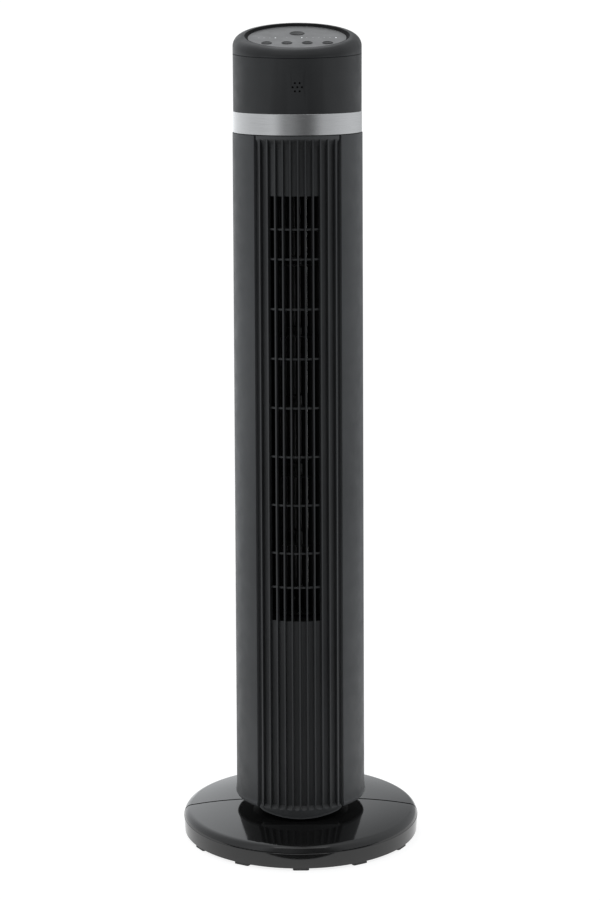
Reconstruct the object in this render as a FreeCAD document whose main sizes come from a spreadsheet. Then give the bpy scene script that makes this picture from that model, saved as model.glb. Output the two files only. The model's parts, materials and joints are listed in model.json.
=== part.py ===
import FreeCAD, Part
import math
import operator
import os

import Sketcher
from FreeCAD import Placement, Rotation, Vector

# Oscillating tower fan, in millimetres. The origin is at floor level in the middle of the base,
# +Z is up and the air outlet faces -Y. Every length comes from the sheet below.

SIZES = {
    # base
    "base_radius": 149.6,
    "base_dome": 38.9,
    "base_round": 141.0,
    "base_wall": 3.0,
    "base_clear": 3.0,
    "rim_line": 21.5,
    "seam_gap": 0.8,
    "groove_width": 3.2,
    "groove_depth": 0.9,
    "seat_radius": 37.0,
    "seat_level": 36.0,
    "foot_width": 20.0,
    "foot_depth": 11.0,
    "foot_ring": 147.4,
    # swivel
    "hub_radius": 20.0,
    "hub_bore": 12.0,
    "hub_bottom": 14.0,
    "hub_top": 56.0,
    "hub_flange": 35.0,
    "fit_gap": 0.08,
    "gear_teeth": 60,
    "pinion_teeth": 12,
    "gear_module": 1.1,
    "gear_level": 50.2,
    "gear_thick": 5.0,
    # column
    "cap_bottom": 40.8,
    "casing_low": 51.5,
    "column_foot": 81.5,
    "column_head": 78.7,
    "column_top": 887.6,
    "foot_flare": 1.2,
    "chin_low": 41.9,
    "chin_top": 52.6,
    "chin_side": 51.5,
    "wall": 2.5,
    "grille_half": 39.0,
    "casing_half": 41.4,
    "floor_depth": 5.0,
    "floor_wall": 2.4,
    "fin_wall": 1.8,
    "opening_low": 295.3,
    "opening_high": 816.6,
    "bar_level": 561.2,
    "bar_pitch": 60.1,
    "bar_height": 2.2,
    "runout_low": 871.5,
    "runout_high": 883.5,
    # ring and head
    "ring_low": 888.2,
    "ring_high": 913.2,
    "ring_radius": 77.9,
    "head_radius": 77.6,
    "head_low": 913.8,
    "seam_level": 982.1,
    "seam_tilt": 3.0,
    "rim_level": 1003.0,
    "rim_tilt": 12.0,
    "dish_radius": 62.6,
    "panel_radius": 59.2,
    "panel_sink": 2.8,
    "panel_thick": 2.2,
    # air path
    "wheel_x": 4.0,
    "wheel_y": 6.0,
    "wheel_radius": 45.0,
    "wheel_low": 294.0,
    "wheel_high": 818.0,
    "shaft_radius": 4.0,
    "duct_low": 288.0,
    "duct_high": 822.0,
    "plate": 6.0,
    "motor_radius": 44.0,
    "motor_low": 196.0,
    "motor_high": 262.0,
}

# levels of the plates inside the column, and of the holes in its wall
PLATE_GAP = 2
INTAKE_HALF = 47
GLAND_LEVEL = 86
SCREW_ANGLES = (42, 138)
SCREW_RING = (45, 135, 225, 315)
CABLE = (54, 30)

OPERATIONS = {"+": operator.add, "-": operator.sub, "*": operator.mul, "/": operator.truediv}

FIN_STEP = 0.1158
FINS = range(-5, 6)
OPEN_FINS = (-4, 3)

doc = FreeCAD.newDocument("TowerFan")
sheet = doc.addObject("Spreadsheet::Sheet", "sizes")


class Size:
    """A length that carries both its number and its spreadsheet formula."""

    def __init__(self, value, text=None):
        self.value = float(value)
        self.text = repr(self.value) if text is None else text

    def combined(self, sign, other, swapped=False):
        first, second = (size(other), self) if swapped else (self, size(other))
        value = OPERATIONS[sign](first.value, second.value)
        return Size(value, f"({first.text} {sign} {second.text})")

    def __add__(self, other):
        return self.combined("+", other)

    def __radd__(self, other):
        return self.combined("+", other, True)

    def __sub__(self, other):
        return self.combined("-", other)

    def __rsub__(self, other):
        return self.combined("-", other, True)

    def __mul__(self, other):
        return self.combined("*", other)

    def __rmul__(self, other):
        return self.combined("*", other, True)

    def __truediv__(self, other):
        return self.combined("/", other)

    def __neg__(self):
        return 0 - self


def size(amount):
    return amount if isinstance(amount, Size) else Size(amount)


class Sheet:
    """The named sizes, each read as an attribute."""


def fill_sheet():
    named = Sheet()
    for row, (alias, value) in enumerate(SIZES.items(), start=1):
        sheet.set(f"A{row}", alias)
        sheet.set(f"B{row}", str(value))
        sheet.setAlias(f"B{row}", alias)
        setattr(named, alias, Size(value, f"sizes.{alias}"))
    doc.recompute()
    return named


S = fill_sheet()
LOWER_PLATE = S.hub_top + PLATE_GAP
MOTOR_PLATE = S.motor_high + PLATE_GAP
NECK_PLATE = S.column_top - 8
INTAKE_LOW = S.opening_low + 5
INTAKE_HIGH = S.opening_high - 5
RIM_TILT = Rotation(Vector(1, 0, 0), S.rim_tilt.value)
SEAM_TILT = Rotation(Vector(1, 0, 0), S.seam_tilt.value)


# ---------------------------------------------------------------- helpers


def bind(thing, name, amount):
    amount = size(amount)
    setattr(thing, name, amount.value)
    if "sizes." in amount.text:
        thing.setExpression(name, amount.text)


def place(thing, x=0, y=0, z=0, turn=None):
    spot = [size(x), size(y), size(z)]
    thing.Placement = Placement(Vector(*(c.value for c in spot)), turn or Rotation())
    for letter, amount in zip("xyz", spot):
        if "sizes." in amount.text:
            thing.setExpression(f".Placement.Base.{letter}", amount.text)
    return thing


def about_z(degrees):
    return Rotation(Vector(0, 0, 1), size(degrees).value)


def primitive(kind, label, **amounts):
    piece = doc.addObject(kind, label)
    for name, amount in amounts.items():
        bind(piece, name, amount)
    return piece


def box(label, dx, dy, dz, x=0, y=0, z=0):
    piece = primitive("Part::Box", label, Length=dx, Width=dy, Height=dz)
    return place(piece, size(x) - size(dx) / 2, size(y) - size(dy) / 2, z)


def cylinder(label, radius, height, x=0, y=0, z=0, turn=None):
    return place(primitive("Part::Cylinder", label, Radius=radius, Height=height), x, y, z, turn)


def sector(label, start, angle, low, high, radius=130):
    """A slice of pie about the Z axis, from the angle start and through angle degrees."""
    piece = primitive("Part::Cylinder", label, Radius=radius, Height=high - low, Angle=angle)
    return place(piece, 0, 0, low, about_z(start))


def cone(label, foot, head, low, high):
    piece = primitive("Part::Cone", label, Radius1=foot, Radius2=head, Height=high - low)
    return place(piece, 0, 0, low)


def many(kind, label, pieces):
    piece = doc.addObject(kind, label)
    if kind == "Part::Compound":
        piece.Links = pieces
    else:
        piece.Shapes = pieces
    return piece


def fuse(label, *pieces):
    return many("Part::MultiFuse", label, list(pieces))


def common(label, *pieces):
    return many("Part::MultiCommon", label, list(pieces))


def compound(label, pieces):
    return many("Part::Compound", label, list(pieces))


def cut(label, base, *tools):
    piece = doc.addObject("Part::Cut", label)
    piece.Base = base
    piece.Tool = tools[0] if len(tools) == 1 else compound(label + "_tools", tools)
    return piece


def column_radius(level):
    """The column's outer radius at a height: it narrows evenly towards the head."""
    slope = (S.column_foot - S.column_head) / (S.column_top - S.casing_low)
    return S.column_foot - slope * (size(level) - S.casing_low)


def skin(label, outer, inner, low, high):
    """A tapered tube whose two faces lie at given offsets from the column's surface."""
    solid = cone(label + "_outer", column_radius(low) + outer, column_radius(high) + outer, low, high)
    core = cone(label + "_inner", column_radius(low) + inner, column_radius(high) + inner, low, high)
    return cut(label, solid, core)


def new_body(label):
    return doc.addObject("PartDesign::Body", label)


def new_sketch(body, plane="XY_Plane"):
    drawing = body.newObject("Sketcher::SketchObject", body.Name + "_sketch")
    role = [item for item in body.Origin.OriginFeatures if item.Role == plane][0]
    drawing.AttachmentSupport = [(role, "")]
    drawing.MapMode = "FlatFace"
    return drawing


def hold_point(drawing, geometry, end, x, y):
    """Pins one end of a line or arc to its place, by formula."""
    for kind, axis, amount in (("DistanceX", -2, x), ("DistanceY", -1, y)):
        if amount.value == 0:
            drawing.addConstraint(Sketcher.Constraint("PointOnObject", geometry, end, axis))
            continue
        index = drawing.addConstraint(Sketcher.Constraint(kind, -1, 1, geometry, end, amount.value))
        if "sizes." in amount.text:
            drawing.setExpression(f"Constraints[{index}]", amount.text)


def outline(drawing, points):
    """A closed loop. A point of four numbers is reached by an arc through its first two."""
    ends = [(size(point[-2]), size(point[-1])) for point in points]
    vectors = [Vector(x.value, y.value, 0) for x, y in ends]
    joints = []
    for number, point in enumerate(points):
        begin, finish = vectors[number - 1], vectors[number]
        if len(point) == 4:
            middle = Vector(size(point[0]).value, size(point[1]).value, 0)
            curve = Part.ArcOfCircle(begin, middle, finish)
            index = drawing.addGeometry(curve)
            drawing.addConstraint(Sketcher.Constraint("Radius", index, curve.Radius))
        else:
            index = drawing.addGeometry(Part.LineSegment(begin, finish))
        flipped = (drawing.getPoint(index, 1) - begin).Length > 1e-6
        joints.append((index, (2, 1) if flipped else (1, 2)))
    for number, (index, (_, end)) in enumerate(joints):
        following, (start, _) = joints[(number + 1) % len(joints)]
        drawing.addConstraint(Sketcher.Constraint("Coincident", index, end, following, start))
        hold_point(drawing, index, end, *ends[number])
    return drawing


def ring(drawing, radius, x=0, y=0):
    index = drawing.addGeometry(Part.Circle(Vector(size(x).value, size(y).value, 0), Vector(0, 0, 1), 1))
    hold_point(drawing, index, 3, size(x), size(y))
    radius = size(radius)
    held = drawing.addConstraint(Sketcher.Constraint("Radius", index, radius.value))
    if "sizes." in radius.text:
        drawing.setExpression(f"Constraints[{held}]", radius.text)


def feature(body, kind, drawing, **amounts):
    step = body.newObject("PartDesign::" + kind, body.Name + "_" + kind.lower())
    step.Profile = drawing
    for name, amount in amounts.items():
        bind(step, name, amount)
    drawing.Visibility = False
    return step


def revolved(label, points):
    body = new_body(label)
    drawing = outline(new_sketch(body, "XZ_Plane"), points)
    feature(body, "Revolution", drawing, Angle=360).ReferenceAxis = (drawing, ["V_Axis"])
    return body


def pad(label, length, x=0, y=0, z=0, turn=None, outer=None, rings=()):
    """A flat piece: an outline or circles in its own XY plane, raised by length."""
    body = new_body(label)
    drawing = new_sketch(body)
    if outer:
        outline(drawing, outer)
    for circle in rings:
        ring(drawing, *circle)
    feature(body, "Pad", drawing, Length=length)
    return place(body, x, y, z, turn)


def washer(label, outer, inner, thick, x=0, y=0, z=0):
    return pad(label, thick, x, y, z, rings=[(outer,), (inner,)])


def rectangle(width, depth, x=0, y=0):
    half_w, half_d = size(width) / 2, size(depth) / 2
    return [
        (x - half_w, y - half_d),
        (x + half_w, y - half_d),
        (x + half_w, y + half_d),
        (x - half_w, y + half_d),
    ]


def slab(label, start, end, thick, low, high):
    """An upright wall along the line from start to end, as seen from above."""
    dx, dy = end[0] - start[0], end[1] - start[1]
    wall = primitive("Part::Box", label, Length=math.hypot(dx, dy), Width=thick, Height=high - low)
    return place(wall, start[0], start[1], low, about_z(math.degrees(math.atan2(dy, dx))))


def fin(label, angle, thick, low, high, start=50, reach=50):
    """A radial wall at an angle about the Z axis, trimmed later by a skin."""
    turn = about_z(angle)
    wall = primitive("Part::Box", label, Length=reach, Width=thick, Height=high - low)
    wall.Placement = Placement(turn.multVec(Vector(start, -wall.Width.Value / 2, low.value)), turn)
    return wall


def around(radius, angle):
    turn = math.radians(angle)
    return radius * math.cos(turn), radius * math.sin(turn)


def fixed_shape(label, shape, x=0, y=0, z=0, turn=None):
    piece = doc.addObject("Part::Feature", label)
    piece.Shape = shape
    return place(piece, x, y, z, turn)


def on_rim(piece, x=0, y=0, z=0):
    """Moves a piece drawn about the rim's own upright axis onto the slanted top."""
    spot = RIM_TILT.multVec(Vector(x, y, size(z).value)) + Vector(0, 0, S.rim_level.value)
    piece.Placement = Placement(spot, RIM_TILT)
    return piece


def screws(label, shank, length, head, head_high, spots, turns=None):
    """A set of identical screws, heads up, each with its own place."""
    pieces = []
    for number, spot in enumerate(spots):
        stem = Part.makeCylinder(shank, length, Vector(0, 0, -length))
        top = Part.makeCylinder(head, head_high)
        slot = Part.makeBox(head * 1.3, head * 0.28, head_high / 2)
        slot.translate(Vector(-head * 0.65, -head * 0.14, head_high / 2))
        cross = slot.copy()
        cross.rotate(Vector(), Vector(0, 0, 1), 90)
        screw = stem.fuse(top).cut(slot).cut(cross).removeSplitter()
        screw.Placement = Placement(Vector(*spot), turns[number] if turns else Rotation())
        pieces.append(screw)
    return fixed_shape(label, Part.Compound(pieces))


# ---------------------------------------------------------------- base


def dome_level(radius):
    """The height of the base's upper face, which falls away faster towards its edge."""
    square = size(radius) * size(radius)
    return S.base_dome - square * square / 50500000


def seam_groove():
    """A shallow step on each side of the joint between the halves."""
    inner, turn = S.seat_radius, S.base_round
    deep = S.groove_depth
    middle = (inner + turn) / 2
    side = S.base_radius - 0.5 - deep
    shoulder = dome_level(turn) - deep
    above = revolved(
        "groove_turned",
        [
            (inner, dome_level(inner) - deep),
            (middle, dome_level(middle) - deep, turn - deep / 2, shoulder),
            (S.base_radius - 2.9 - deep, shoulder - 2.6, side, S.rim_line + 0.5),
            (S.base_radius + 5, S.rim_line + 0.5),
            (S.base_radius + 5, S.base_dome + 5),
            (inner, S.base_dome + 5),
        ],
    )
    strip = box("groove_strip", 340, S.groove_width, 60, 0, 0, 0)
    return common("seam_groove", above, strip)


def base_halves():
    edge, turn = S.base_radius, S.base_round
    shoulder = dome_level(turn)
    middle = (S.seat_radius + turn) / 2
    under = S.base_wall
    step = 0.5
    shell = revolved(
        "base_shell",
        [
            (S.hub_radius + 0.3, S.seat_level),
            (S.seat_radius, S.seat_level),
            (S.seat_radius, dome_level(S.seat_radius)),
            (middle, dome_level(middle), turn, shoulder),
            (edge - 2.9, shoulder - 3.2, edge - step, S.rim_line + step),
            (edge, S.rim_line),
            (edge - 1.1, S.base_clear),
            (edge - 1.1 - under, S.base_clear),
            (edge - under - step, S.rim_line),
            (turn - 1, shoulder - under - 0.2),
            (middle, dome_level(middle) - under, S.seat_radius + under, dome_level(S.seat_radius) - under),
            (S.seat_radius + under, S.seat_level - under),
            (S.hub_radius + 0.3, S.seat_level - under),
        ],
    )
    filling = revolved(
        "base_filling",
        [
            (S.seat_radius + 1, S.base_clear),
            (edge - 2, S.base_clear),
            (edge - 2, S.rim_line),
            (turn, shoulder - 1.5),
            (middle, dome_level(middle) - 1.5, S.seat_radius + 1, dome_level(S.seat_radius) - 1.5),
        ],
    )
    ribs = []
    for number in range(16):
        angle = 11.25 + 22.5 * number
        ribs.append(fin(f"base_rib_{number}", angle, 2, S.base_clear + 9, S.base_dome, 36, 112))
    for number, angle in enumerate(foot_angles(-90) + foot_angles(90)):
        x, y = around(S.foot_ring.value - S.foot_depth.value / 2, angle)
        width, depth = S.foot_width.value + 2, S.foot_depth.value + 2
        block = primitive("Part::Box", f"base_pad_{number}", Length=depth, Width=width, Height=30)
        heading = about_z(angle)
        corner = heading.multVec(Vector(-depth / 2, -width / 2, 0))
        block.Placement = Placement(Vector(x, y, S.base_clear.value) + corner, heading)
        ribs.append(block)
    inner = common("base_inner", fuse("base_ribs", *ribs), filling)
    whole = fuse("base_whole", shell, inner)
    holes = [cylinder(f"base_hole_{n}", 2.2, 30, *around(31, a), 20) for n, a in enumerate(SCREW_RING)]
    drilled = cut("base_drilled", whole, seam_groove(), *holes)
    for label, side in (("base_front_half", -1), ("base_rear_half", 1)):
        depth = S.base_radius + 10
        half = box(label + "_space", 340, depth, 60, 0, side * (depth + S.seam_gap) / 2, 0)
        common(label, drilled, half)


def foot_angles(middle):
    return [middle + step for step in (-60, -30, 0, 30, 60)]


def feet():
    for label, middle in (("front_feet", -90), ("rear_feet", 90)):
        pads = []
        for angle in foot_angles(middle):
            pad_shape = Part.makeBox(
                S.foot_depth.value,
                S.foot_width.value,
                S.base_clear.value,
                Vector(-S.foot_depth.value, -S.foot_width.value / 2, 0),
            )
            upright = [e for e in pad_shape.Edges if abs(e.tangentAt(e.FirstParameter).z) > 0.9]
            pad_shape = pad_shape.makeFillet(2.5, upright)
            pad_shape.Placement = Placement(Vector(*around(S.foot_ring.value, angle), 0), about_z(angle))
            pads.append(pad_shape)
        fixed_shape(label, Part.Compound(pads))


def swivel():
    hub = revolved(
        "hub_turned",
        [
            (S.hub_bore, S.hub_bottom),
            (S.hub_radius, S.hub_bottom),
            (S.hub_radius, S.seat_level),
            (S.hub_flange, S.seat_level),
            (S.hub_flange, S.seat_level + 3.2),
            (S.hub_radius, S.seat_level + 3.2),
            (S.hub_radius, S.hub_top),
            (S.hub_bore, S.hub_top),
        ],
    )
    holes = [
        cylinder(f"hub_hole_{n}", 1.8, 2.7, *around(31, angle), S.seat_level)
        for n, angle in enumerate(SCREW_RING)
    ]
    cut("pivot_hub", hub, *holes)
    nut = washer("nut_ring", 27, S.hub_radius + 0.05, 10, z=S.seat_level - S.base_wall - 10)
    grips = [cylinder(f"nut_grip_{n}", 3, 12, *around(28.2, 30 * n), S.seat_level - 15) for n in range(12)]
    cut("lock_nut", nut, *grips)
    spots = [(*around(31, angle), S.seat_level.value - S.base_wall.value) for angle in SCREW_RING]
    over = Rotation(Vector(1, 0, 0), 180)
    screws("base_screws", 1.78, 5.6, 3.4, 2, spots, [over] * 4)
    washer("thrust_washer", 34, S.hub_radius + 2, 1.5, z=S.seat_level + 3.2)


def tooth_outline(teeth, addendum, slack):
    """An involute spur gear's outline, thinned at the pitch circle by slack."""
    module = S.gear_module.value
    pitch = module * teeth / 2
    angle = math.radians(20)
    base, root, tip = pitch * math.cos(angle), pitch - 1.2 * module, pitch + addendum * module
    start = max(base, root)
    half = math.pi / (2 * teeth) - slack / (2 * pitch) + math.tan(angle) - angle
    flank = []
    for step in range(6):
        radius = start + (tip - start) * step / 5
        roll = math.acos(min(1, base / radius))
        flank.append((radius, half - (math.tan(roll) - roll)))
    if root < base:
        flank.insert(0, (root, flank[0][1]))
    corners = []
    for tooth in range(teeth):
        middle = 2 * math.pi * tooth / teeth
        corners += [(radius, middle - turn) for radius, turn in flank]
        corners += [(radius, middle + turn) for radius, turn in reversed(flank)]
    return [Vector(radius * math.cos(turn), radius * math.sin(turn), 0) for radius, turn in corners]


def gear_shape(teeth, addendum, slack, thick):
    points = tooth_outline(teeth, addendum, slack)
    return Part.Face(Part.makePolygon(points + points[:1])).extrude(Vector(0, 0, thick))


def gear_distance():
    return (S.gear_teeth.value + S.pinion_teeth.value) * S.gear_module.value / 2 + 0.12


def oscillation_drive():
    thick = S.gear_thick.value
    wheel = gear_shape(int(S.gear_teeth.value), 0.7, 0.2, thick)
    wheel = wheel.cut(Part.makeCylinder(S.hub_radius.value + 0.02, thick))
    fixed_shape("oscillation_gear", wheel, 0, 0, S.gear_level)
    reach = gear_distance()
    small = gear_shape(int(S.pinion_teeth.value), 0.9, 0.2, thick)
    small.rotate(Vector(), Vector(0, 0, 1), 15)
    small = small.fuse(Part.makeCylinder(2.5, 17, Vector(0, 0, thick - 1)))
    fixed_shape("oscillation_pinion", small, 0, reach, S.gear_level)
    level = LOWER_PLATE + S.plate
    case = cylinder("drive_case", 24, 18, 0, reach + 4, level)
    mouth = cylinder("drive_mouth", 2.55, 9, 0, reach, level - 1)
    ears = box("drive_ears", 62, 8, 2, 0, reach + 4, level)
    cut("oscillation_motor", fuse("drive_body", case, ears), mouth)


# ---------------------------------------------------------------- column


def bottom_cap():
    """The column's floor: a plate inside the casing's lower edge, a well for the gears and a boss."""
    edge, level = S.column_foot - S.wall - 0.4, S.casing_low + 0.3
    well = gear_distance() + 8.6
    turned = revolved(
        "cap_turned",
        [
            (S.hub_radius + S.fit_gap, S.cap_bottom),
            (well + 1.5, S.cap_bottom),
            (well + 13.5, level),
            (edge, level),
            (edge, level + 2.6),
            (well + 12, level + 2.6),
            (well, S.cap_bottom + 2.6),
            (S.hub_radius + 7, S.cap_bottom + 2.6),
            (S.hub_radius + 7, S.gear_level - 0.2),
            (S.hub_radius + S.fit_gap, S.gear_level - 0.2),
        ],
    )
    half = 46.8
    slice_ = sector("cap_notch_sector", -90 - half, 2 * half, level - 1, level + 4)
    kept = S.column_foot - S.floor_depth - S.floor_wall - 0.4
    notch = cut("cap_notch", slice_, cylinder("cap_notch_core", kept, 9, 0, 0, level - 3))
    cut("bottom_cap", turned, notch)


def fin_angle(step):
    return math.degrees(math.asin(FIN_STEP * step))


def grille_bars(start, angle):
    """Thin level bars behind the fins, closer together at both ends of the opening."""
    levels = [S.bar_level + S.bar_pitch * step for step in range(-3, 4)]
    levels += [levels[0] - 42.9, levels[-1] + 35.7]
    bars = []
    for number, level in enumerate(levels):
        low, high = level - S.bar_height / 2, level + S.bar_height / 2
        hoop = skin(f"bar_hoop_{number}", -5.1, -7.2, low, high)
        bars.append(common(f"bar_{number}", hoop, sector(f"bar_sector_{number}", start, angle, low, high)))
    return bars


def chin_space(label, inset):
    """The space inside the chin's rounded lower border, seen from the front."""
    side, corner = S.chin_side - inset, S.chin_side - 4.5 - inset
    low = S.chin_low + inset
    border = [
        (-side, low + 22),
        (-side, low + 9.6),
        (-corner, low + 6.3),
        (0, low, corner, low + 6.3),
        (side, low + 9.6),
        (side, low + 22),
    ]
    return pad(label, 130, turn=Rotation(Vector(1, 0, 0), 90), outer=border)


def grille_chin(narrow):
    """The band below the fins, with a sloping ledge above and a raised bead along its lower border."""
    foot, depth, back = S.column_foot, S.floor_depth, S.floor_depth + S.floor_wall
    ledge = S.chin_top + 4.6
    band = revolved(
        "chin_band",
        [
            (foot - back + 1, S.chin_low - 1),
            (foot, S.chin_low - 1),
            (foot, S.chin_top),
            (foot - depth - 0.1, ledge),
            (foot - back + 1, ledge),
        ],
    )
    rim = cylinder("chin_rim", foot + 0.9, S.chin_top - S.chin_low, 0, 0, S.chin_low - 0.5)
    bore = cylinder("chin_bead_bore", foot - 1, 30, 0, 0, S.chin_low - 8)
    rim = cut("chin_bead", rim, chin_space("chin_bead_core", 1.7), bore)
    return common("grille_chin", fuse("chin_body", band, rim), chin_space("chin_outline", 0), narrow)


def front_grille():
    low, high = S.chin_top, S.column_top
    depth, back = S.floor_depth, S.floor_depth + S.floor_wall
    half = 46
    floor = common(
        "grille_floor",
        skin("grille_floor_skin", -depth, -back, low, high),
        sector("grille_floor_sector", -90 - half, 2 * half, low, high),
    )
    edge = math.degrees(S.fin_wall.value / 2 / 76)
    first, last = fin_angle(OPEN_FINS[0]) + edge, fin_angle(OPEN_FINS[1]) - edge
    window = sector("grille_window", -90 + first, last - first, S.opening_low, S.opening_high)
    band_low = S.runout_high
    narrow = sector("grille_band_sector", -90 - S.grille_half, 2 * S.grille_half, S.cap_bottom, high)
    band = skin("grille_band_skin", 0, -back, band_low, high)
    rise = (S.runout_high + S.runout_low) / 2
    runout = revolved(
        "grille_runout",
        [
            (column_radius(S.runout_low) - depth, S.runout_low),
            (column_radius(rise) - depth + 1.15, rise, column_radius(band_low), band_low),
            (column_radius(S.runout_low) - back + 1, band_low),
            (column_radius(S.runout_low) - back + 1, S.runout_low),
        ],
    )
    top = common("grille_top", fuse("grille_top_rings", band, runout), narrow)
    walls = [
        fin(f"grille_fin_{step + 5}", -90 + fin_angle(step), S.fin_wall, low, band_low + 0.5)
        for step in FINS
    ]
    trimmed = common(
        "grille_fins",
        compound("grille_fin_walls", walls),
        skin("grille_fin_skin", 0, -back, low, band_low + 0.5),
    )
    bars = grille_bars(-90 + first - 0.4, last - first + 0.8)
    opened = cut("grille_open_floor", floor, window)
    fuse("front_grille", opened, top, grille_chin(narrow), trimmed, *bars)


def casing_screw_levels():
    half = S.plate.value / 2
    return [level.value + half for level in (LOWER_PLATE, MOTOR_PLATE, S.duct_high, NECK_PLATE)]


def rear_casing():
    low, high = S.casing_low, S.column_top
    wrap = 360 - 2 * S.casing_half
    shell = common(
        "casing_shell",
        skin("casing_skin", 0, -S.wall, low, high),
        sector("casing_sector", S.casing_half - 90, wrap, low, high),
    )
    lip = compound(
        "casing_lip_sectors",
        [
            sector("casing_lip_right", S.casing_half - 90, 1.2, low, high),
            sector("casing_lip_left", -90 - S.casing_half - 1.2, 1.2, low, high),
        ],
    )
    lips = common("casing_lips", skin("casing_lip_skin", 0, 0.3 - S.floor_depth, low, high), lip)
    foot, flare = S.column_foot, S.foot_flare
    skirt = revolved(
        "casing_skirt",
        [
            (foot - S.wall, low),
            (foot - 0.6, low),
            (foot + flare, low + 2.4),
            (foot + flare * 0.3, low + 8, column_radius(low + 20), low + 20),
            (column_radius(low + 20) - S.wall, low + 20),
        ],
    )
    around_foot = sector("casing_foot_sector", S.casing_half - 90, wrap, low, low + 25)
    foot_ring = common("casing_foot", skirt, around_foot)
    window = sector("casing_window", 90 - INTAKE_HALF, 2 * INTAKE_HALF, INTAKE_LOW, INTAKE_HIGH)
    holes = []
    for row, level in enumerate(casing_screw_levels()):
        for column, angle in enumerate(SCREW_ANGLES):
            radius = column_radius(level).value
            name = f"casing_hole_{row}_{column}"
            turn = about_z(angle) * Rotation(Vector(0, 1, 0), 90)
            holes.append(cylinder(name, 1.8, 12, *around(radius - 10, angle), level, turn))
            holes.append(cylinder(name + "_sink", 3.4, 12, *around(radius - 1.7, angle), level, turn))
    holes.append(cylinder("casing_cord_hole", 6.2, 30, 0, 60, GLAND_LEVEL, Rotation(Vector(1, 0, 0), -90)))
    cut("rear_casing", fuse("casing_body", shell, lips, foot_ring), window, *holes)


def intake_grille():
    low, high = INTAKE_LOW + 0.3, INTAKE_HIGH - 0.3
    half, frame = INTAKE_HALF - 0.25, 5
    plate = common(
        "intake_plate",
        skin("intake_plate_skin", -0.2, -S.wall, low, high),
        sector("intake_plate_sector", 90 - half, 2 * half, low, high),
    )
    inner = half - 3
    window = sector("intake_window", 90 - inner, 2 * inner, low + frame, high - frame)
    slats = [
        fin(f"intake_slat_{step}", 90 - 42 + 3.5 * step, 1.6, low + frame - 1, high - frame + 1)
        for step in range(25)
    ]
    trimmed = common(
        "intake_slats",
        compound("intake_slat_walls", slats),
        skin("intake_slat_skin", -0.2, -4.2, low + frame - 1, high - frame + 1),
    )
    hoops = []
    pitch = (high - low - 2 * frame) / 9
    for step in range(1, 9):
        level = low + frame + pitch * step
        hoop = skin(f"intake_hoop_{step}", -1.6, -4.2, level - 1.2, level + 1.2)
        span = 2 * inner + 1
        slice_ = sector(f"intake_hoop_sector_{step}", 90 - span / 2, span, level - 1.2, level + 1.2)
        hoops.append(common(f"intake_bar_{step}", hoop, slice_))
    fuse("intake_grille", cut("intake_frame", plate, window), trimmed, *hoops)


def bulkhead(label, level, radius, *openings):
    """A level plate across the column, with two lugs that reach the casing for its screws."""
    plate = cylinder(label + "_plate", radius, S.plate, 0, 0, level)
    pieces, holes = [plate], []
    middle = level + S.plate / 2
    for number, angle in enumerate(SCREW_ANGLES):
        turn = about_z(angle) * Rotation(Vector(0, 1, 0), 90)
        reach = column_radius(middle).value - S.wall.value - 0.05
        start = radius.value - 6
        lug = cylinder(f"{label}_lug_{number}", 4.5, reach - start, *around(start, angle), middle, turn)
        trim = cone(f"{label}_trim_{number}", column_radius(level - 3) - S.wall - 0.05,
                    column_radius(level + 9) - S.wall - 0.05, level - 3, level + 9)
        pieces.append(common(f"{label}_foot_{number}", lug, trim))
        holes.append(cylinder(f"{label}_bore_{number}", 1.5, 20, *around(start - 6, angle), middle, turn))
    body = fuse(label + "_body", *pieces)
    return cut(label, body, *holes, *openings)


def plate_radius(level):
    return column_radius(level) - S.floor_depth - S.floor_wall - 0.4


def cable_hole(label, level):
    return cylinder(label, 3.2, 12, *CABLE, level - 3)


def frame_plates():
    reach = gear_distance()
    bulkhead(
        "lower_bulkhead",
        LOWER_PLATE,
        plate_radius(LOWER_PLATE + S.plate),
        cylinder("lower_wire_hole", S.hub_bore, 12, 0, 0, LOWER_PLATE - 3),
        cylinder("lower_pinion_hole", 9, 12, 0, reach, LOWER_PLATE - 3),
    )
    bulkhead(
        "motor_plate",
        MOTOR_PLATE,
        plate_radius(MOTOR_PLATE + S.plate),
        cylinder("motor_plate_mouth", 14, 12, S.wheel_x, S.wheel_y, MOTOR_PLATE - 3),
        cable_hole("motor_plate_cable", MOTOR_PLATE),
        *[
            cylinder(f"motor_plate_hole_{n}", 2.2, 12, x, y, MOTOR_PLATE - 3)
            for n, (x, y) in enumerate(motor_spots())
        ],
    )
    floor = cylinder("duct_floor_plate", plate_radius(S.duct_low + 2.4), 2.4, 0, 0, S.duct_low)
    mouth = cylinder("duct_floor_mouth", 12, 8, S.wheel_x, S.wheel_y, S.duct_low - 2)
    cut("duct_floor", floor, mouth, cable_hole("duct_floor_cable", S.duct_low))
    bulkhead(
        "bearing_plate",
        S.duct_high,
        plate_radius(S.duct_high + S.plate),
        cylinder("bearing_mouth", 9, 12, S.wheel_x, S.wheel_y, S.duct_high - 3),
        cable_hole("bearing_plate_cable", S.duct_high),
    )
    bulkhead(
        "neck_plate",
        NECK_PLATE,
        plate_radius(S.column_top),
        cylinder("neck_mouth", 45, 12, 0, 0, NECK_PLATE - 3),
        cable_hole("neck_cable", NECK_PLATE),
        *[
            cylinder(f"neck_hole_{n}", 1.5, 12, x, y, NECK_PLATE - 3)
            for n, (x, y) in enumerate(head_screw_spots())
        ],
    )


def wiring_loom():
    """The leads from the mains cord and both motors, up a corner of the casing to the head."""
    low = LOWER_PLATE + S.plate + 3
    cylinder("wiring_loom", 2.6, S.column_top + 16 - low, *CABLE, low)


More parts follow.
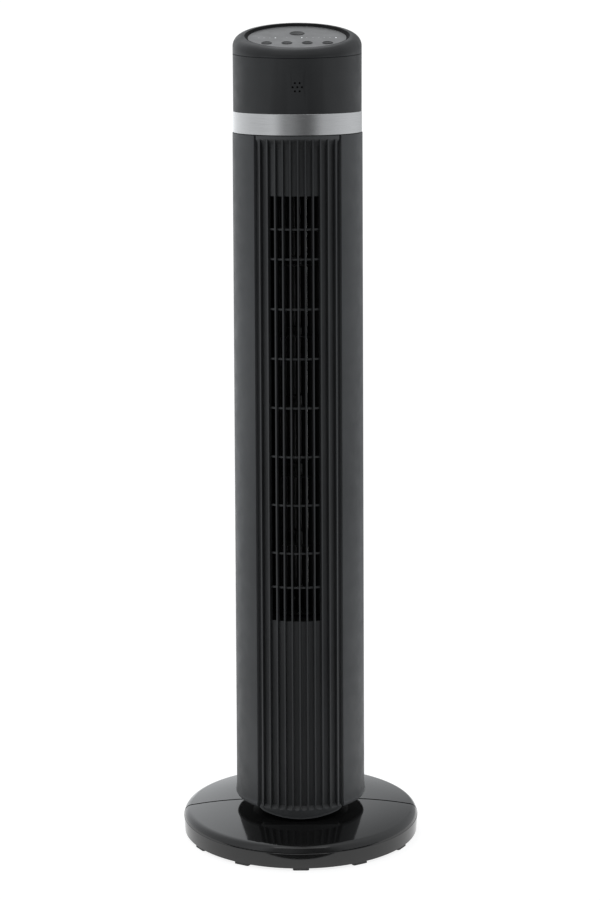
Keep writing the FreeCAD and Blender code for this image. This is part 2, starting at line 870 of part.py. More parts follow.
def casing_screws():
    spots, turns = [], []
    for level in casing_screw_levels():
        for angle in SCREW_ANGLES:
            radius = column_radius(level).value - 1.7
            spots.append((*around(radius, angle), level))
            turns.append(about_z(angle) * Rotation(Vector(0, 1, 0), 90))
    screws("casing_screws", 1.45, 13, 3, 1.5, spots, turns)


def cord_gland():
    bush = revolved(
        "cord_gland",
        [
            (3.6, 0),
            (8.5, 0),
            (8.5, 2),
            (6.1, 2),
            (6.1, 5.4),
            (9, 5.4),
            (9, 7.2),
            (7.4, 9.4),
            (3.6, 9.4),
        ],
    )
    depth = column_radius(GLAND_LEVEL) - 5
    place(bush, 0, depth, GLAND_LEVEL, Rotation(Vector(1, 0, 0), -90))


# ---------------------------------------------------------------- air path


def duct_walls():
    low, high = S.duct_low + 2.45, S.duct_high - 0.05
    centre = (2, -4)
    outer = primitive("Part::Cylinder", "scroll_outer", Radius=60, Height=high - low, Angle=95)
    place(outer, *centre, low, about_z(130))
    inner = cylinder("scroll_inner", 58, high - low + 2, *centre, low - 1)
    arc = cut("scroll_arc", outer, inner)
    front = slab("scroll_front", (-41.2, -46.0), (-39.4, -58.4), 2, low, high)
    rear = slab("scroll_rear", (-35.2, 40.4), (-52.4, 53.2), 2, low, high)
    fuse("scroll_wall", arc, front, rear)
    nose = slab("tongue_nose", (29.9, -63.0), (31.6, -38), 2, low, high)
    back = slab("tongue_back", (30.0, -38.6), (63.6, -30), 2, low, high)
    fuse("tongue_wall", nose, back)


def blade_outline():
    return [
        (34.0, 0.0),
        (39.6, 1.3, 44.4, 5.0),
        (43.8, 6.0),
        (38.9, 2.4, 33.8, 1.1),
    ]


def impeller():
    body = new_body("impeller")
    length = S.wheel_high - S.wheel_low
    for radius, height in ((S.wheel_radius, 2.4), (9, 24)):
        drawing = new_sketch(body)
        ring(drawing, radius)
        feature(body, "Pad", drawing, Length=height)
    drawing = outline(new_sketch(body), blade_outline())
    blade = feature(body, "Pad", drawing, Length=length)
    fan = body.newObject("PartDesign::PolarPattern", "impeller_blades")
    fan.Originals = [blade]
    fan.Axis = (drawing, ["N_Axis"])
    fan.Angle = 360
    fan.Occurrences = 32
    body.Tip = fan
    drawing = new_sketch(body)
    ring(drawing, S.wheel_radius)
    drawing.AttachmentOffset = Placement(Vector(0, 0, length.value / 6), Rotation())
    disc = feature(body, "Pad", drawing, Length=1.6)
    discs = body.newObject("PartDesign::LinearPattern", "impeller_discs")
    discs.Originals = [disc]
    discs.Direction = (drawing, ["N_Axis"])
    discs.Length = length.value * 5 / 6 - 1.6
    discs.Occurrences = 6
    body.Tip = discs
    for level, deep in ((0, 24), (length.value - 1.6, 1.6)):
        drawing = new_sketch(body)
        ring(drawing, S.shaft_radius)
        drawing.AttachmentOffset = Placement(Vector(0, 0, level), Rotation())
        feature(body, "Pocket", drawing, Length=deep).Reversed = True
    place(body, S.wheel_x, S.wheel_y, S.wheel_low)
    pin_low = S.wheel_high - 1.6
    cylinder("wheel_pin", S.shaft_radius, 18, S.wheel_x, S.wheel_y, pin_low)
    washer("top_bearing", 8.95, S.shaft_radius + 0.05, 8, S.wheel_x, S.wheel_y, S.duct_high)


def motor_spots():
    return [(S.wheel_x.value + x, S.wheel_y.value + y) for x, y in (around(33, a) for a in SCREW_RING)]


def motor():
    x, y = S.wheel_x, S.wheel_y
    low, high, edge = S.motor_low, S.motor_high, S.motor_radius
    middle = (low + high) / 2
    cup = [
        (9.02, 0),
        (edge - 8, 0),
        (edge - 2.34, 2.34, edge, 8),
        (edge, middle - low - 0.1),
        (edge - 2, middle - low - 0.1),
        (edge - 2, 8),
        (edge - 8, 2),
        (12, 2),
        (12, 9),
        (9.02, 9),
    ]
    lower = revolved("motor_lower_shell", cup)
    place(lower, x, y, low)
    upper = revolved("motor_upper_cup", cup)
    place(upper, x, y, high, Rotation(Vector(1, 0, 0), 180))
    holes = [
        cylinder(f"motor_shell_hole_{n}", 1.8, 12, *spot, high - 6)
        for n, spot in enumerate(motor_spots())
    ]
    cut("motor_upper_shell", upper, *holes)
    ends = [(low, 1), (high - 8, 2)]
    bushes = [washer(f"motor_bush_{n}", 9, S.shaft_radius + 0.05, 8, x, y, level) for level, n in ends]
    compound("motor_bearings", bushes)
    washer("motor_stator", 41.9, 24, 32, x, y, middle - 16)
    coils = [
        washer(f"motor_coil_{n}", 38, 26, 7, x, y, level)
        for n, level in enumerate((middle - 23.2, middle + 16.2))
    ]
    compound("motor_windings", coils)
    washer("motor_rotor", 23.5, S.shaft_radius, 34, x, y, middle - 17)
    cylinder("motor_shaft", S.shaft_radius, S.wheel_low + 22 - low + 4, x, y, low - 4)
    pads = [washer(f"damper_{n}", 6, 2.3, 1.96, *spot, high + 0.02) for n, spot in enumerate(motor_spots())]
    compound("motor_dampers", pads)
    level = MOTOR_PLATE.value + S.plate.value
    screws("motor_screws", 1.78, 12.5, 3.6, 2.2, [(*spot, level) for spot in motor_spots()])


def capacitor():
    block = Part.makeBox(38, 18, 30, Vector(-19, -9, 0))
    upright = [e for e in block.Edges if abs(e.tangentAt(e.FirstParameter).z) > 0.9]
    fixed_shape("run_capacitor", block.makeFillet(3, upright), -30, -32, LOWER_PLATE + S.plate)


# ---------------------------------------------------------------- ring and head


def trim_ring():
    edge = S.ring_radius
    revolved(
        "trim_ring",
        [
            (edge - 2, S.ring_low),
            (edge - 0.4, S.ring_low),
            (edge, S.ring_low + 0.4),
            (edge, S.ring_high - 0.4),
            (edge - 0.4, S.ring_high),
            (edge - 2, S.ring_high),
        ],
    )


def slanted_space(label, level, turn, above):
    """A large block with one face on a slanted plane that crosses the Z axis at a level."""
    block = primitive("Part::Box", label, Length=200, Width=200, Height=200)
    corner = turn.multVec(Vector(-100, -100, 0 if above else -200))
    block.Placement = Placement(corner + Vector(0, 0, size(level).value), turn)
    return block


def slanted_drum(label, radius, low, level, rounding):
    """A drum with a slanted, rounded top."""
    drum = cylinder(label + "_drum", radius, 130, 0, 0, low)
    flat = cut(label + "_flat", drum, slanted_space(label + "_above", level, RIM_TILT, True))
    doc.recompute()
    rounded = doc.addObject("Part::Fillet", label)
    rounded.Base = flat
    top = [n for n, e in enumerate(flat.Shape.Edges, 1) if e.BoundBox.ZMin > low.value + 20 and e.isClosed()]
    rounded.Edges = [(number, rounding, rounding) for number in top]
    return rounded


def head_screw_spots():
    return [around(62, angle) for angle in (0, 90, 180, 270)]


def grille_hexagon():
    """Seven small sound holes in the head's front wall."""
    spots = [(0, 0)] + [around(5.5, 60 * step) for step in range(6)]
    turn = Rotation(Vector(1, 0, 0), 90)
    level = 944.7
    return [cylinder(f"sound_hole_{n}", 1.2, 8, x, -73, level + z, turn) for n, (x, z) in enumerate(spots)]


def head():
    outer = slanted_drum("head_outer", S.head_radius, S.head_low, S.rim_level, 12)
    inner = slanted_drum("head_inner", S.head_radius - S.wall, S.head_low - 1, S.rim_level - 2.6, 9.5)
    hollow = cut("head_hollow", outer, inner)
    below = common("head_below", hollow, slanted_space("head_lower", S.seam_level - 0.3, SEAM_TILT, False))
    skirt = revolved(
        "head_skirt",
        [
            (56, S.column_top + 0.1),
            (S.ring_radius - 2.1, S.column_top + 0.1),
            (S.ring_radius - 2.1, S.head_low - 0.3),
            (S.head_radius, S.head_low - 0.3),
            (S.head_radius, S.head_low + 0.2),
            (S.head_radius - S.wall, S.head_low + 2.2),
            (S.ring_radius - 4.5, S.head_low + 2.2),
            (S.ring_radius - 4.5, S.column_top + 3.1),
            (56, S.column_top + 3.1),
        ],
    )
    cup = cylinder("buzzer_cup", 8, 7.5, 0, -67.5, 944.7, Rotation(Vector(1, 0, 0), 90))
    pocket = cylinder("buzzer_pocket", 6.6, 6.2, 0, -67, 944.7, Rotation(Vector(1, 0, 0), 90))
    floor_holes = [
        cylinder(f"skirt_hole_{n}", 1.8, 12, x, y, S.column_top - 4)
        for n, (x, y) in enumerate(head_screw_spots())
    ]
    cable = cylinder("skirt_cable", 3.2, 12, *CABLE, S.column_top - 4)
    shell = fuse("head_shell_body", below, skirt, cup)
    cut("head_shell", shell, pocket, cable, *floor_holes, *grille_hexagon())
    cylinder("buzzer", 6.4, 5, 0, -68, 944.7, Rotation(Vector(1, 0, 0), 90))
    screws("head_screws", 1.45, 8, 3, 2, [(x, y, S.column_top.value + 3.1) for x, y in head_screw_spots()])
    above = common("head_above", hollow, slanted_space("head_upper", S.seam_level + 0.3, SEAM_TILT, True))
    cap(above)


def cap(above):
    """The slanted cap, with a conical dish that frames the control panel."""
    sink, thick = S.panel_sink, S.panel_thick
    opening = on_rim(cylinder("dish_opening", S.dish_radius, 8), 0, 0, -5)
    collar = revolved(
        "dish_collar",
        [
            (54, -sink - thick - 2),
            (S.dish_radius + 1.8, -sink - thick - 2),
            (S.dish_radius + 1.8, -0.02),
            (S.dish_radius, -0.02),
            (S.panel_radius + 0.25, -sink),
            (S.panel_radius + 0.25, -sink - thick),
            (54, -sink - thick),
        ],
    )
    fuse("head_cap", cut("cap_open", above, opening), on_rim(collar))


# ---------------------------------------------------------------- controls

BUTTONS = {
    "button_power": (0, 21.6, 9.0),
    "button_timer": (-36.3, -26.8, 6.4),
    "button_mode": (-12.1, -26.8, 6.4),
    "button_speed": (12.1, -26.8, 6.4),
    "button_swing": (36.3, -26.8, 6.4),
}
LIGHTS = (-45.8, -39.5, -32.7, -26.0, -12.3, 5.7, 11.6, 19.2, 26.0, 32.7, 39.5, 46.7)
POSTS = ((-38, 28), (38, 28), (-25, -39), (25, -39))
BOARD_TOP = -12.2


def control_panel():
    sink, thick = S.panel_sink, S.panel_thick
    plate = cylinder("panel_plate", S.panel_radius, thick, 0, 0, -sink - thick)
    posts = [
        cylinder(f"panel_post_{n}", 3, -BOARD_TOP - sink - thick + 0.5, x, y, BOARD_TOP)
        for n, (x, y) in enumerate(POSTS)
    ]
    holes = [
        cylinder(f"panel_hole_{label}", radius + 0.35, 8, x, y, -8)
        for label, (x, y, radius) in BUTTONS.items()
    ]
    holes += [cylinder(f"panel_light_{n}", 0.95, 8, x, -1, -8) for n, x in enumerate(LIGHTS)]
    holes += [cylinder(f"panel_thread_{n}", 1.0, 5, x, y, BOARD_TOP - 0.5) for n, (x, y) in enumerate(POSTS)]
    on_rim(cut("control_panel", fuse("panel_body", plate, *posts), *holes))
    lights = [
        cylinder(f"light_{n}", 0.9, thick + 0.3, x, -1, -sink - thick - 0.25)
        for n, x in enumerate(LIGHTS)
    ]
    on_rim(compound("indicator_lenses", lights))


def buttons():
    sink, thick = S.panel_sink, S.panel_thick
    for label, (x, y, radius) in BUTTONS.items():
        low = -sink - thick
        key = revolved(
            label,
            [
                (0, low - 2.9),
                (2, low - 2.9),
                (2, low - 1.4),
                (radius + 1, low - 1.4),
                (radius + 1, low - 0.3),
                (radius, low - 0.3),
                (radius, 0.2 - sink),
                (radius - 0.7, 0.6 - sink),
                (radius * 0.8, 0.3 - sink),
                (radius * 0.55, 0.08 - sink),
                (radius * 0.3, -sink),
                (0, -sink),
            ],
        )
        on_rim(key, x, y)


def circuit_board():
    board = pad("board_plate", 1.6, z=BOARD_TOP - 1.6, outer=[(-46, -44), (46, -44), (46, 36), (-46, 36)])
    corner = cylinder("board_round", 53, 8, 0, 0, BOARD_TOP - 4)
    holes = [cylinder(f"board_hole_{n}", 1.3, 8, x, y, BOARD_TOP - 4) for n, (x, y) in enumerate(POSTS)]
    on_rim(cut("control_board", common("board_body", board, corner), *holes))
    switches = []
    for x, y, _ in BUTTONS.values():
        base = Part.makeBox(6, 6, 2.2, Vector(x - 3, y - 3, BOARD_TOP))
        switches.append(base.fuse(Part.makeCylinder(1.7, 0.9, Vector(x, y, BOARD_TOP + 2.1))))
    on_rim(fixed_shape("tact_switches", Part.Compound(switches)))
    over = RIM_TILT * Rotation(Vector(1, 0, 0), 180)
    spots = []
    for x, y in POSTS:
        spot = RIM_TILT.multVec(Vector(x, y, BOARD_TOP - 1.6)) + Vector(0, 0, S.rim_level.value)
        spots.append(tuple(spot))
    screws("board_screws", 0.98, 5, 2.2, 1.4, spots, [over] * len(spots))


# ---------------------------------------------------------------- build and write

NODES = (
    "base_front_half base_rear_half front_feet rear_feet pivot_hub lock_nut base_screws thrust_washer"
    " oscillation_gear oscillation_pinion oscillation_motor bottom_cap front_grille rear_casing"
    " intake_grille lower_bulkhead motor_plate duct_floor bearing_plate neck_plate casing_screws"
    " wiring_loom cord_gland scroll_wall tongue_wall impeller wheel_pin top_bearing motor_lower_shell"
    " motor_upper_shell motor_bearings motor_stator motor_windings motor_rotor motor_shaft"
    " motor_dampers motor_screws run_capacitor trim_ring head_shell head_cap head_screws buzzer"
    " control_panel indicator_lenses button_power button_timer button_mode button_speed"
    " button_swing control_board tact_switches board_screws"
).split()


def build():
    base_halves()
    feet()
    swivel()
    oscillation_drive()
    bottom_cap()
    front_grille()
    rear_casing()
    intake_grille()
    frame_plates()
    wiring_loom()
    casing_screws()
    cord_gland()
    duct_walls()
    impeller()
    motor()
    capacitor()
    trim_ring()
    head()
    control_panel()
    buttons()
    circuit_board()
    doc.recompute()


def check():
    for item in doc.Objects:
        if "Invalid" in item.State or "Error" in item.State:
            raise RuntimeError(f"{item.Label} failed: {item.State}")
    for label in NODES:
        shape = doc.getObject(label).Shape
        if shape.isNull() or not shape.isValid() or not shape.Solids:
            raise RuntimeError(f"{label} has no valid solid")


def write():
    os.makedirs("parts", exist_ok=True)
    for label in NODES:
        doc.getObject(label).Shape.exportStep(f"parts/{label}.step")


build()
check()
write()
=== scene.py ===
import json
import math

import bmesh
import bpy
from mathutils import Euler, Matrix, Vector

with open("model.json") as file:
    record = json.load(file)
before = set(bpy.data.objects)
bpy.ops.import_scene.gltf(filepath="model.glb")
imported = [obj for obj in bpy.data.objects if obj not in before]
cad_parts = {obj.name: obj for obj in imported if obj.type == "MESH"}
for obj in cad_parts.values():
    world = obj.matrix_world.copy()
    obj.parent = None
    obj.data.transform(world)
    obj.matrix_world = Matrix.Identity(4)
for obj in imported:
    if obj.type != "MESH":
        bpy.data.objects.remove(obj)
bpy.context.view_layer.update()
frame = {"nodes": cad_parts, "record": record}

NODES = frame["nodes"]
SCENE = bpy.context.scene


# ---------------------------------------------------------------- camera

CAMERA_SIDE = 0.0012
CAMERA_DISTANCE = 2.803
CAMERA_HEIGHT = 1.065
CAMERA_PITCH = 11.49
CAMERA_ROLL = -0.27
CAMERA_LENS = 92.0


def add_camera():
    data = bpy.data.cameras.new("camera")
    data.lens = CAMERA_LENS
    data.sensor_width = 36.0
    data.clip_end = 200.0
    camera = bpy.data.objects.new("camera", data)
    SCENE.collection.objects.link(camera)
    aim = Euler((math.radians(90 - CAMERA_PITCH), 0, 0)).to_matrix()
    roll = Matrix.Rotation(math.radians(CAMERA_ROLL), 3, "Z")
    spot = Matrix.Translation((CAMERA_SIDE, -CAMERA_DISTANCE, CAMERA_HEIGHT))
    camera.matrix_world = spot @ (aim @ roll).to_4x4()
    SCENE.camera = camera


add_camera()


# ---------------------------------------------------------------- material nodes

TURNED_FROM = 0.985
TURNED_TO = 0.993


class Paint:
    """A node material, put together one step at a time."""

    def __init__(self, name, **values):
        self.material = bpy.data.materials.new(name)
        self.material.use_nodes = True
        self.tree = self.material.node_tree
        self.shader = self.tree.nodes["Principled BSDF"]
        for socket, value in values.items():
            self.shader.inputs[socket.replace("_", " ")].default_value = value

    def node(self, kind, inputs=(), **settings):
        made = self.tree.nodes.new("ShaderNode" + kind)
        for name, value in settings.items():
            setattr(made, name, value)
        for socket, value in dict(inputs).items():
            self.feed(made.inputs[socket], value)
        return made

    def feed(self, socket, value):
        if isinstance(value, bpy.types.NodeSocket):
            self.tree.links.new(value, socket)
        else:
            socket.default_value = value

    def place(self, scale=(1, 1, 1)):
        position = self.node("TexCoord").outputs["Object"]
        return self.node("Mapping", {"Vector": position, "Scale": scale}).outputs["Vector"]

    def noise(self, scale, detail=3.0, vector=None, rough=0.5):
        inputs = {"Scale": scale, "Detail": detail, "Roughness": rough}
        inputs["Vector"] = vector or self.place()
        return self.node("TexNoise", inputs).outputs["Fac"]

    def span(self, value, low, high, start=0.0, end=1.0):
        inputs = {"Value": value, "From Min": start, "From Max": end, "To Min": low, "To Max": high}
        return self.node("MapRange", inputs).outputs["Result"]

    def maths(self, operation, first, second=0.0):
        return self.node("Math", {0: first, 1: second}, operation=operation).outputs[0]

    def blend(self, factor, first, second):
        mix = self.node("Mix", {"Factor": factor}, data_type="RGBA")
        self.feed(mix.inputs["A"], first)
        self.feed(mix.inputs["B"], second)
        return mix.outputs["Result"]

    def bump(self, height, distance, strength=1.0, under=None):
        inputs = {"Height": height, "Distance": distance, "Strength": strength}
        if under:
            inputs["Normal"] = under
        return self.node("Bump", inputs).outputs["Normal"]

    def edge_wear_and_highlight(self):
        """How far a point stands out from the surface around it: above 0.5 on an outer edge."""
        return self.node("NewGeometry").outputs["Pointiness"]

    def turned(self):
        """How far a face looks straight out from the column's axis, and its normal put right for that."""
        out = self.node("VectorMath", {0: self.place(), 1: (1, 1, 0)}, operation="MULTIPLY").outputs[0]
        spaces = {"vector_type": "NORMAL", "convert_from": "OBJECT", "convert_to": "WORLD"}
        out = self.node("VectorTransform", {"Vector": out}, **spaces).outputs[0]
        out = self.node("VectorMath", {0: out}, operation="NORMALIZE").outputs[0]
        faces = self.node("NewGeometry").outputs
        pair = {0: out, 1: faces["True Normal"]}
        agree = self.node("VectorMath", pair, operation="DOT_PRODUCT").outputs["Value"]
        share = self.span(agree, 0.0, 1.0, TURNED_FROM, TURNED_TO)
        return share, self.blend(share, faces["Normal"], out)

    def set(self, **sockets):
        for name, value in sockets.items():
            self.feed(self.shader.inputs[name.replace("_", " ")], value)
        return self.material


def grey(level, warm=0.0):
    return (level * (1 + warm), level, level * (1 - warm), 1.0)


def plastic(
    name, colour, rough, grain=2600.0, depth=0.00003, spread=0.25, wave=0.0,
    dark_where=None, turned=False, **values
):
    """Moulded plastic: a fine tool texture, faint flow marks, and outer edges lightened, part wear from
    handling and part painted highlight.
    """
    paint = Paint(name, **values)
    cloud = paint.noise(9.0, 4.0, paint.place((1, 1, 0.35)))
    flecks = paint.noise(grain * 0.6, 2.0)
    light = tuple(c * (1 + spread) for c in colour[:3]) + (1.0,)
    dark = tuple(c * (1 - spread) for c in colour[:3]) + (1.0,)
    tint = paint.blend(paint.span(cloud, 0.0, 1.0, 0.3, 0.7), dark, light)
    edge = paint.span(paint.edge_wear_and_highlight(), 0.0, 0.55, 0.5, 0.56)
    outward = None
    if turned:
        share, outward = paint.turned()
        edge = paint.maths("MULTIPLY", edge, paint.maths("SUBTRACT", 1.0, share))
    # Outer edges lighter: part wear, part painted highlight, as the light rim round the keys.
    worn_and_lit_edge = tuple(min(1.0, c * 1.9 + 0.01) for c in colour[:3]) + (1.0,)
    tint = paint.blend(edge, tint, worn_and_lit_edge)
    # A dark_where mask paints the part near black and rougher: on the base it is painted shade in the seam
    # and on the parts above the base's top; on the head it is the dish wall round the panel.
    where = dark_where(paint) if dark_where else None
    if where:
        tint = paint.blend(where, tint, grey(0.0012))
    gloss = paint.span(paint.noise(55.0, 5.0), rough * 0.88, rough * 1.12, 0.3, 0.7)
    gloss = paint.maths("ADD", gloss, paint.span(flecks, -0.03, 0.03))
    if where:
        gloss = paint.maths("ADD", gloss, paint.maths("MULTIPLY", where, 0.4))
    normal = paint.bump(paint.noise(grain, 3.0), depth, 1.0, outward)
    if wave:
        normal = paint.bump(paint.noise(7.0, 1.0), wave, 1.0, normal)
    return paint.set(Base_Color=tint, Roughness=gloss, Normal=normal)


def seam_and_upper_painted_shade(paint):
    """Painted shade, near black and duller: the joint between the two halves of the base, and all that lies
    above the base's top.
    """
    parts = paint.node("SeparateXYZ", {"Vector": paint.place()}).outputs
    across = paint.maths("ABSOLUTE", parts["Y"])
    seam = paint.span(across, 1.0, 0.0, SEAM_HALF * 0.6, SEAM_HALF)
    return paint.maths("MAXIMUM", seam, paint.maths("GREATER_THAN", parts["Z"], BASE_TOP))


def inside_dish(paint):
    """The wall of the dish round the control panel, and what lies within it."""
    pair = {0: paint.place(), 1: (0, 0, DISH_LEVEL)}
    centre = paint.node("VectorMath", pair, operation="SUBTRACT").outputs[0]
    level = paint.node("Mapping", {"Vector": centre, "Rotation": (-DISH_TILT, 0, 0)}).outputs[0]
    flat = paint.node("VectorMath", {0: level, 1: (1, 1, 0)}, operation="MULTIPLY").outputs[0]
    reach = paint.node("VectorMath", {0: flat}, operation="LENGTH").outputs["Value"]
    height = paint.node("SeparateXYZ", {"Vector": level}).outputs["Z"]
    within = paint.span(reach, 1.0, 0.0, DISH_RADIUS - 0.0004, DISH_RADIUS)
    return paint.maths("MULTIPLY", within, paint.maths("GREATER_THAN", height, -DISH_DEPTH))


def brushed_ring(name):
    """Aluminium brushed round the column: fine lines that follow the ring."""
    paint = Paint(name, Metallic=1.0, Anisotropic=0.55)
    parts = paint.node("SeparateXYZ", {"Vector": paint.place()}).outputs
    angle = paint.maths("ARCTAN2", parts["Y"], parts["X"])
    along = paint.node("CombineXYZ", {"X": angle, "Y": 0.0, "Z": paint.maths("MULTIPLY", parts["Z"], 900.0)})
    lines = paint.noise(5.0, 5.0, along.outputs["Vector"], 0.65)
    broad = paint.noise(1.2, 2.0, along.outputs["Vector"])
    tint = paint.blend(paint.span(lines, 0.0, 1.0, 0.3, 0.7), grey(0.50, 0.0), grey(0.62, 0.0))
    tint = paint.blend(paint.span(broad, 0.0, 0.25, 0.3, 0.7), tint, grey(0.42))
    gloss = paint.span(lines, 0.18, 0.28, 0.3, 0.7)
    return paint.set(Base_Color=tint, Roughness=gloss, Normal=paint.bump(lines, 0.00002))


def metal(name, colour, rough, scale=400.0, depth=0.00002):
    """Turned or stamped metal with a slightly uneven finish."""
    paint = Paint(name, Metallic=1.0)
    grain = paint.noise(scale, 4.0, paint.place((1, 1, 3)))
    dark = tuple(c * 0.75 for c in colour[:3]) + (1.0,)
    tint = paint.blend(paint.span(grain, 0.0, 1.0, 0.3, 0.7), dark, colour)
    gloss = paint.span(grain, rough * 0.8, rough * 1.25, 0.3, 0.7)
    return paint.set(Base_Color=tint, Roughness=gloss, Normal=paint.bump(grain, depth))


def lamp_window(name):
    """Small diffusing light guides, three of them lit."""
    paint = Paint(name, Emission_Color=(0.92, 0.96, 1.0, 1.0))
    milk = paint.noise(1500.0, 3.0)
    tint = paint.blend(milk, grey(0.35), grey(0.5))
    along = paint.node("SeparateXYZ", {"Vector": paint.place()}).outputs["X"]
    glow = 0.0
    for lamp in LIT_LAMPS:
        offset = paint.maths("ABSOLUTE", paint.maths("SUBTRACT", along, lamp))
        glow = paint.maths("ADD", paint.maths("LESS_THAN", offset, LAMP_HALF), glow)
    return paint.set(Base_Color=tint, Roughness=paint.span(milk, 0.2, 0.35), Emission_Strength=glow)


# ---------------------------------------------------------------- finishes

SEAM_HALF = 0.0009
BASE_TOP = 0.0398
DISH_LEVEL = 1.003
DISH_TILT = math.radians(12.0)
DISH_RADIUS = 0.0635
DISH_DEPTH = 0.012
LIT_LAMPS = (-0.026, 0.0057, 0.0467)
LAMP_HALF = 0.002

FINISHES = {
    # gloss_black carries painted shade in the base's seam and on the parts above the base's top.
    "gloss_black": lambda n: plastic(
        n, grey(0.0065), 0.085, 900.0, 0.000004, 0.2, 0.0006, seam_and_upper_painted_shade, IOR=1.52
    ),
    "foot_rubber": lambda n: plastic(n, grey(0.018), 0.75, 1400.0, 0.00008),
    "charcoal": lambda n: plastic(n, grey(0.059, -0.04), 0.52, turned=True, Specular_IOR_Level=0.3),
    "grille_black": lambda n: plastic(n, grey(0.036, -0.04), 0.42, 2200.0, 0.00003, Specular_IOR_Level=0.4),
    "head_black": lambda n: plastic(
        n, grey(0.0145, -0.05), 0.5, dark_where=inside_dish, Specular_IOR_Level=0.35
    ),
    "inner_black": lambda n: plastic(n, grey(0.004), 0.6, 1200.0, 0.00005, Specular_IOR_Level=0.2),
    "acetal_white": lambda n: plastic(n, grey(0.62, 0.02), 0.35, 900.0),
    "silver": brushed_ring,
    "panel_grey": lambda n: plastic(n, grey(0.055), 0.36, 2400.0, 0.00002),
    "key_grey": lambda n: plastic(n, grey(0.010), 0.5, 1800.0, 0.00001, Specular_IOR_Level=0.25),
    "lens": lamp_window,
    "steel": lambda n: metal(n, grey(0.5), 0.3),
    "zinc": lambda n: metal(n, grey(0.5, 0.02), 0.42, 900.0),
    "copper": lambda n: metal(n, (0.6, 0.24, 0.09, 1.0), 0.35, 1800.0, 0.0002),
    "bronze": lambda n: metal(n, (0.45, 0.3, 0.13, 1.0), 0.45, 1500.0),
    "board_green": lambda n: plastic(n, (0.01, 0.09, 0.035, 1.0), 0.3, 700.0),
    "capacitor_grey": lambda n: plastic(n, grey(0.25), 0.4),
}


def paint_nodes():
    made = {name: build(name) for name, build in FINISHES.items()}
    slots = {part["node"]: part["material_slot"] for part in frame["record"]["subparts"]}
    for name, thing in NODES.items():
        finish = made[slots[name]]
        if not thing.material_slots:
            thing.data.materials.append(finish)
        for held in thing.material_slots:
            held.material = finish


paint_nodes()


# ---------------------------------------------------------------- studio

FLOOR_RADIUS = 0.8
FLOOR_DROP = 0.0002
FLOOR_GLOW = 0.85
FLAG_NEAR = 0.175
FLAG_HEIGHT = 0.001
BACKDROP_LEVEL = 1.05
TENT_TINT = -0.012
# Brightness of the tent from the back (0) round to the front (1).
TENT = (
    (0.0, 1.0), (0.30, 0.92), (0.5, 0.82), (0.74, 0.72),
    (0.86, 0.76), (0.905, 0.56), (0.95, 0.25), (1.0, 0.22),
)
# What that is multiplied by from the left (0) across to the right (1).
TENT_SIDES = ((0.0, 0.96), (0.40, 1.5), (0.5, 1.0), (0.60, 0.54), (1.0, 0.98))


def add_floor():
    mesh = bpy.data.meshes.new("floor")
    build = bmesh.new()
    bmesh.ops.create_circle(build, cap_ends=True, segments=96, radius=FLOOR_RADIUS)
    build.to_mesh(mesh)
    build.free()
    floor = bpy.data.objects.new("floor", mesh)
    floor.location.z = -FLOOR_DROP
    SCENE.collection.objects.link(floor)
    paint = Paint("floor_pale", Roughness=0.9, Emission_Strength=FLOOR_GLOW, Emission_Color=grey(1.0))
    cloud = paint.noise(3.0, 3.0)
    floor.data.materials.append(paint.set(Base_Color=paint.blend(cloud, grey(0.26), grey(0.3))))


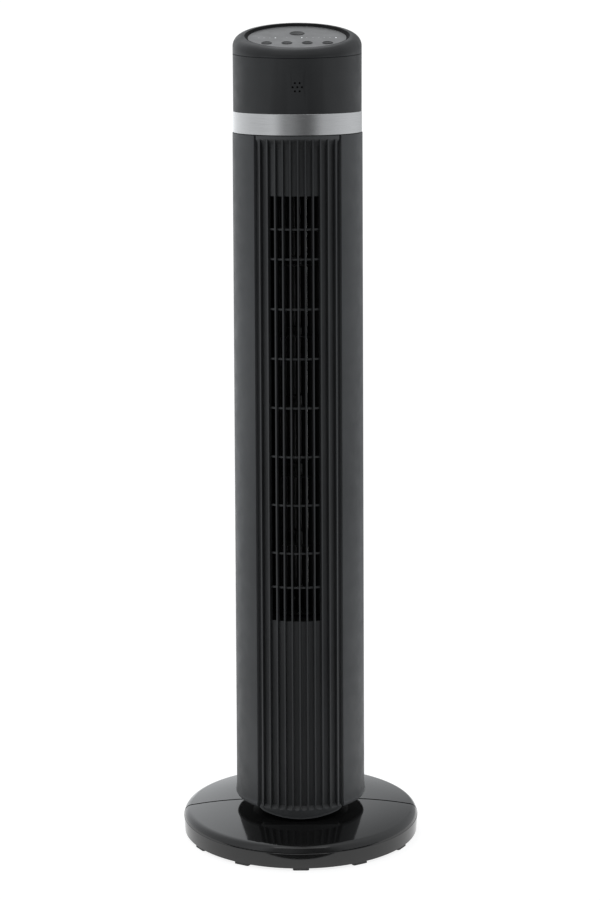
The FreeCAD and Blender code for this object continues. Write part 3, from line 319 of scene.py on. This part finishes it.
def add_world():
    """A white tent around the object with a dim opening in front."""
    world = bpy.data.worlds.new("studio")
    SCENE.world = world
    world.use_nodes = True
    nodes, links = world.node_tree.nodes, world.node_tree.links

    def node(kind, inputs=(), **settings):
        made = nodes.new("ShaderNode" + kind)
        for name, value in settings.items():
            setattr(made, name, value)
        for socket, value in dict(inputs).items():
            if isinstance(value, bpy.types.NodeSocket):
                links.new(value, made.inputs[socket])
            else:
                made.inputs[socket].default_value = value
        return made

    direction = node("TexCoord").outputs["Generated"]
    level = node("VectorMath", {0: direction, 1: (1, 1, 0)}, operation="MULTIPLY").outputs[0]
    level = node("VectorMath", {0: level}, operation="NORMALIZE").outputs[0]
    facing = node("VectorMath", {0: level, 1: (0, -1, 0)}, operation="DOT_PRODUCT").outputs["Value"]
    along = node("MapRange", {"Value": facing, "From Min": -1.0}).outputs[0]
    across = node("VectorMath", {0: level, 1: (1, 0, 0)}, operation="DOT_PRODUCT").outputs["Value"]
    across = node("MapRange", {"Value": across, "From Min": -1.0}).outputs[0]
    ramps = []
    for place, stops in ((along, TENT), (across, TENT_SIDES)):
        ramp = node("ValToRGB", {"Fac": place})
        while len(ramp.color_ramp.elements) < len(stops):
            ramp.color_ramp.elements.new(0.5)
        for element, (position, strength) in zip(ramp.color_ramp.elements, stops):
            element.position = position
            element.color = grey(strength, TENT_TINT)
        ramps.append(ramp.outputs[0])
    tent = node("VectorMath", {0: ramps[0], 1: ramps[1]}, operation="MULTIPLY").outputs[0]
    seen = node("LightPath").outputs["Is Camera Ray"]
    choice = {"Factor": seen, "A": tent, "B": grey(BACKDROP_LEVEL)}
    shown = node("Mix", choice, data_type="RGBA").outputs["Result"]
    links.new(shown, nodes["Background"].inputs["Color"])


def add_flag(name, width, near, far, height):
    """A black card lying in front of the object, seen only in reflections."""
    mesh = bpy.data.meshes.new(name)
    outline = ((-width, -far), (width, -far), (width, -near), (-width, -near))
    corners = [(x, y, height) for x, y in outline]
    mesh.from_pydata(corners, [], [(0, 1, 2, 3)])
    card = bpy.data.objects.new(name, mesh)
    SCENE.collection.objects.link(card)
    paint = Paint(name, Roughness=0.9)
    felt = paint.noise(300.0, 3.0)
    mesh.materials.append(paint.set(Base_Color=paint.blend(felt, grey(0.004), grey(0.008))))
    card.visible_camera = False
    card.visible_shadow = False
    card.visible_diffuse = False


def add_softbox(name, spot, target, width, height, power):
    data = bpy.data.lights.new(name, "AREA")
    data.shape = "RECTANGLE"
    data.size, data.size_y, data.energy = width, height, power
    light = bpy.data.objects.new(name, data)
    light.location = spot
    light.rotation_euler = (Vector(target) - Vector(spot)).to_track_quat("-Z", "Y").to_euler()
    SCENE.collection.objects.link(light)


add_floor()
add_world()
add_flag("front_flag", FLOOR_RADIUS, FLAG_NEAR, FLOOR_RADIUS, FLAG_HEIGHT)
add_softbox("top_light", (0.0, -0.9, 2.4), (0.0, 0.0, 0.4), 1.6, 0.9, 4.0)
SCENE.view_settings.view_transform = "Standard"
